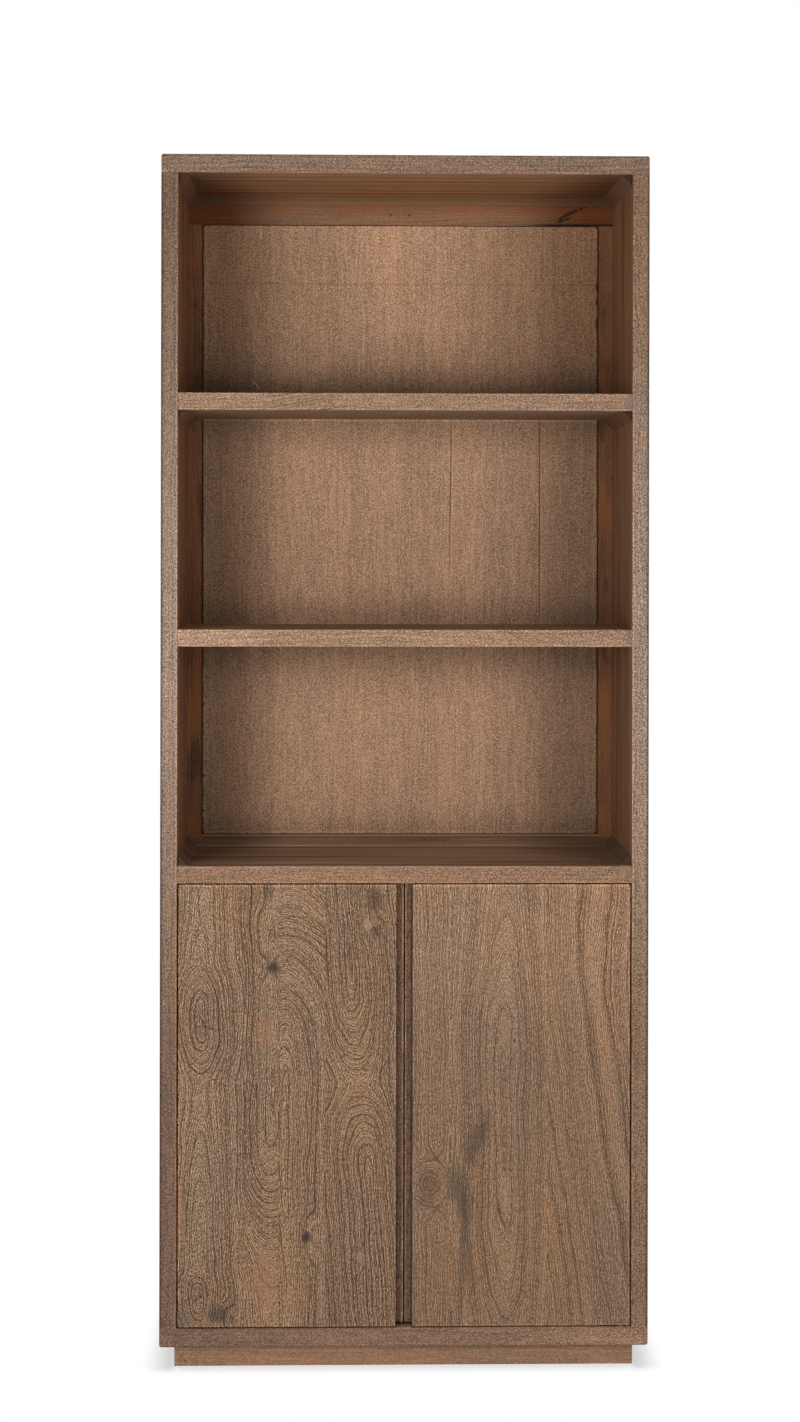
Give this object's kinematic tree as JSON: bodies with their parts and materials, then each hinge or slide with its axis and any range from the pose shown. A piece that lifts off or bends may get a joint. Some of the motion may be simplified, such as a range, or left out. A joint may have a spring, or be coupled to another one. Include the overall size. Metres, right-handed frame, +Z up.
{
  "type": "bookcase with cabinet doors",
  "caption": "Tall wooden bookcase with open shelves over a cabinet closed by flush doors, opened by a recessed finger channel, on a recessed plinth.",
  "frame": {"origin": "on the floor under the middle of the carcass, at the bottom centre of the overall box", "axes": "+Z up, +X to the right as seen from the front, +Y towards the back, so the front faces -Y"},
  "size_m": [0.8, 0.38, 1.985],
  "materials": {
    "carcass_wood": "matte, brushed grain",
    "door_wood": "matte, brushed grain",
    "panel_wood": "matte veneer",
    "frame_wood": "matte, red brown",
    "batten_wood": "matte, stained",
    "plinth_wood": "matte",
    "pivot_steel": "satin",
    "bush_brass": "satin",
    "washer_nylon": "matte",
    "catch_plastic": "matte",
    "magnet_steel": "satin"
  },
  "bodies": {
    "carcass": {"back_panel_lower": "panel_wood", "back_panel_upper": "panel_wood", "back_rail_bottom": "frame_wood", "back_rail_middle": "frame_wood", "back_rail_top": "frame_wood", "back_stile_left": "frame_wood", "back_stile_right": "frame_wood", "bottom_board": "carcass_wood", "cabinet_shelf": "carcass_wood", "catch_housing_left": "catch_plastic", "catch_housing_right": "catch_plastic", "catch_magnet_left": "magnet_steel", "catch_magnet_right": "magnet_steel", "catch_screws": "pivot_steel", "deck_batten_back": "batten_wood", "deck_batten_left": "batten_wood", "deck_batten_right": "batten_wood", "deck_board": "carcass_wood", "pivot_pins": "pivot_steel", "pivot_plate_bottom_left": "pivot_steel", "pivot_plate_bottom_right": "pivot_steel", "pivot_plate_screws": "pivot_steel", "pivot_plate_top_left": "pivot_steel", "pivot_plate_top_right": "pivot_steel", "pivot_washers": "washer_nylon", "plinth_back": "plinth_wood", "plinth_blocks": "plinth_wood", "plinth_front": "plinth_wood", "plinth_left": "plinth_wood", "plinth_right": "plinth_wood", "shelf_lower": "carcass_wood", "shelf_upper": "carcass_wood", "side_panel_left": "carcass_wood", "side_panel_right": "carcass_wood", "top_batten_back": "batten_wood", "top_batten_left": "batten_wood", "top_batten_right": "batten_wood", "top_board": "carcass_wood", "upper_batten_left": "batten_wood", "upper_batten_right": "batten_wood"},
    "door_left": {"door_left": "door_wood", "pivot_bushes_left": "bush_brass", "pull_strip_left": "door_wood", "strike_plate_left": "pivot_steel", "strike_screw_left": "pivot_steel"},
    "door_right": {"door_right": "door_wood", "pivot_bushes_right": "bush_brass", "pull_strip_right": "door_wood", "strike_plate_right": "pivot_steel", "strike_screw_right": "pivot_steel"}
  },
  "joints": [
    {"name": "door_left_hinge", "type": "hinge", "parent": "carcass", "child": "door_left", "pos_m": [-0.356, -0.1825, 0.068], "axis": [0, 0, -1], "range_deg": [0, 110]},
    {"name": "door_right_hinge", "type": "hinge", "parent": "carcass", "child": "door_right", "pos_m": [0.356, -0.1825, 0.068], "axis": [0, 0, 1], "range_deg": [0, 110]}
  ]
}
